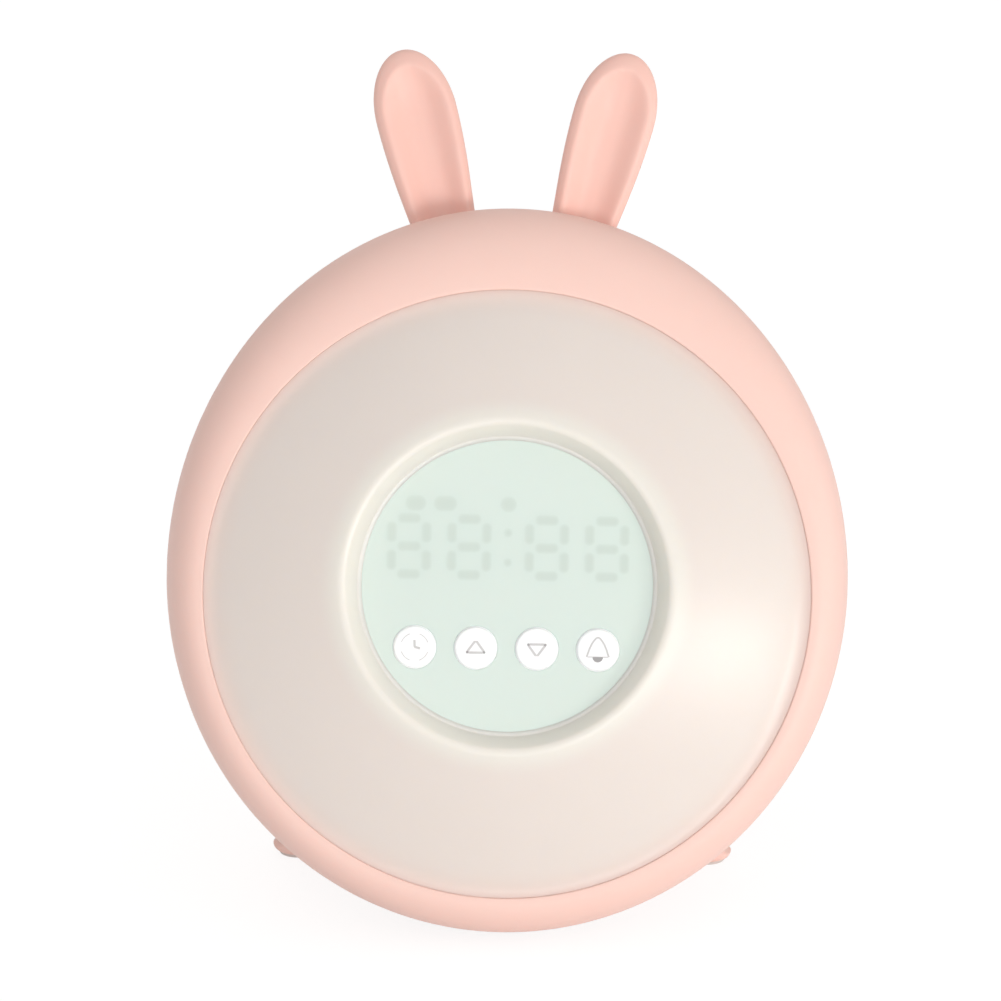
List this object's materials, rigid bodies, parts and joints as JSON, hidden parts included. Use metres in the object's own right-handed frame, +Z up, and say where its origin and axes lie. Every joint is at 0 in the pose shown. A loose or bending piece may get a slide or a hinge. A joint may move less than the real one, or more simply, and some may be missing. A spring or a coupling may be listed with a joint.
{
  "type": "alarm clock with night light",
  "caption": "Leaning oval bedside alarm clock with a domed night-light diffuser round a sunken digital display and its keys, with upright ears and splayed rear feet.",
  "frame": {"origin": "centre of the footprint's bounding box, on the surface that the clock stands on", "axes": "+Z up, the face looks towards -Y and leans back by 18 degrees, +X is to the right of someone who looks at the face"},
  "size_m": [0.161, 0.1014, 0.1969],
  "materials": {
    "pink_shell": "satin moulded ABS",
    "milk_diffuser": "satin opal polycarbonate",
    "mint_panel": "satin moulded acrylic",
    "white_key": "satin moulded ABS",
    "segment_window": "satin tinted epoxy",
    "display_body": "moulded polycarbonate",
    "white_tray": "matte reflector white",
    "white_board": "white solder mask",
    "green_board": "green solder mask",
    "lamp_package": "moulded light package",
    "black_plastic": "moulded nylon",
    "grey_plastic": "moulded ABS",
    "plug_nylon": "natural nylon",
    "screw_steel": "zinc plated",
    "sheet_steel": "pressed and plated",
    "magnet_steel": "ferrite",
    "cone_paper": "pressed paper",
    "cell_wrap": "shrink film",
    "foot_rubber": "moulded silicone",
    "wire_sleeve": "soft PVC sleeve"
  },
  "bodies": {
    "clock": {"front_bezel": "pink_shell", "rear_housing": "pink_shell", "ear_left": "pink_shell", "ear_right": "pink_shell", "foot_left": "pink_shell", "foot_right": "pink_shell", "foot_pads": "foot_rubber", "base_pad": "foot_rubber", "diffuser": "milk_diffuser", "display_panel": "mint_panel", "display_segments": "segment_window", "display_module": "display_body", "tact_switches": "sheet_steel", "main_board": "green_board", "reflector_tray": "white_tray", "light_board": "white_board", "night_lights": "lamp_package", "speaker_frame": "sheet_steel", "speaker_cone": "cone_paper", "speaker_magnet": "magnet_steel", "speaker_clamp": "grey_plastic", "power_board": "green_board", "charging_port": "sheet_steel", "switch_body": "grey_plastic", "battery_cradle": "white_tray", "battery_cell": "cell_wrap", "battery_contacts": "sheet_steel", "tray_screws": "screw_steel", "case_screws": "screw_steel", "board_screws": "screw_steel", "speaker_screws": "screw_steel", "power_board_screws": "screw_steel", "peg_screws": "screw_steel", "peg_washers": "screw_steel", "lead_plugs": "plug_nylon", "main_lead": "wire_sleeve", "speaker_lead": "wire_sleeve", "battery_lead": "wire_sleeve"},
    "clock_key": {"button_clock": "white_key", "plunger_clock": "black_plastic"},
    "up_key": {"button_up": "white_key", "plunger_up": "black_plastic"},
    "down_key": {"button_down": "white_key", "plunger_down": "black_plastic"},
    "alarm_key": {"button_alarm": "white_key", "plunger_alarm": "black_plastic"},
    "mode_switch": {"switch_knob": "black_plastic"}
  },
  "joints": [
    {"name": "clock_press", "type": "slide", "parent": "clock", "child": "clock_key", "axis": [0, 0.9511, -0.309], "range_m": [0, 0.0006], "stiffness_N_per_m": 800, "springref_m": -0.0005},
    {"name": "up_press", "type": "slide", "parent": "clock", "child": "up_key", "axis": [0, 0.9511, -0.309], "range_m": [0, 0.0006], "stiffness_N_per_m": 800, "springref_m": -0.0005},
    {"name": "down_press", "type": "slide", "parent": "clock", "child": "down_key", "axis": [0, 0.9511, -0.309], "range_m": [0, 0.0006], "stiffness_N_per_m": 800, "springref_m": -0.0005},
    {"name": "alarm_press", "type": "slide", "parent": "clock", "child": "alarm_key", "axis": [0, 0.9511, -0.309], "range_m": [0, 0.0006], "stiffness_N_per_m": 800, "springref_m": -0.0005},
    {"name": "mode_slide", "type": "slide", "parent": "clock", "child": "mode_switch", "axis": [1, 0, 0], "range_m": [0, 0.004]}
  ]
}
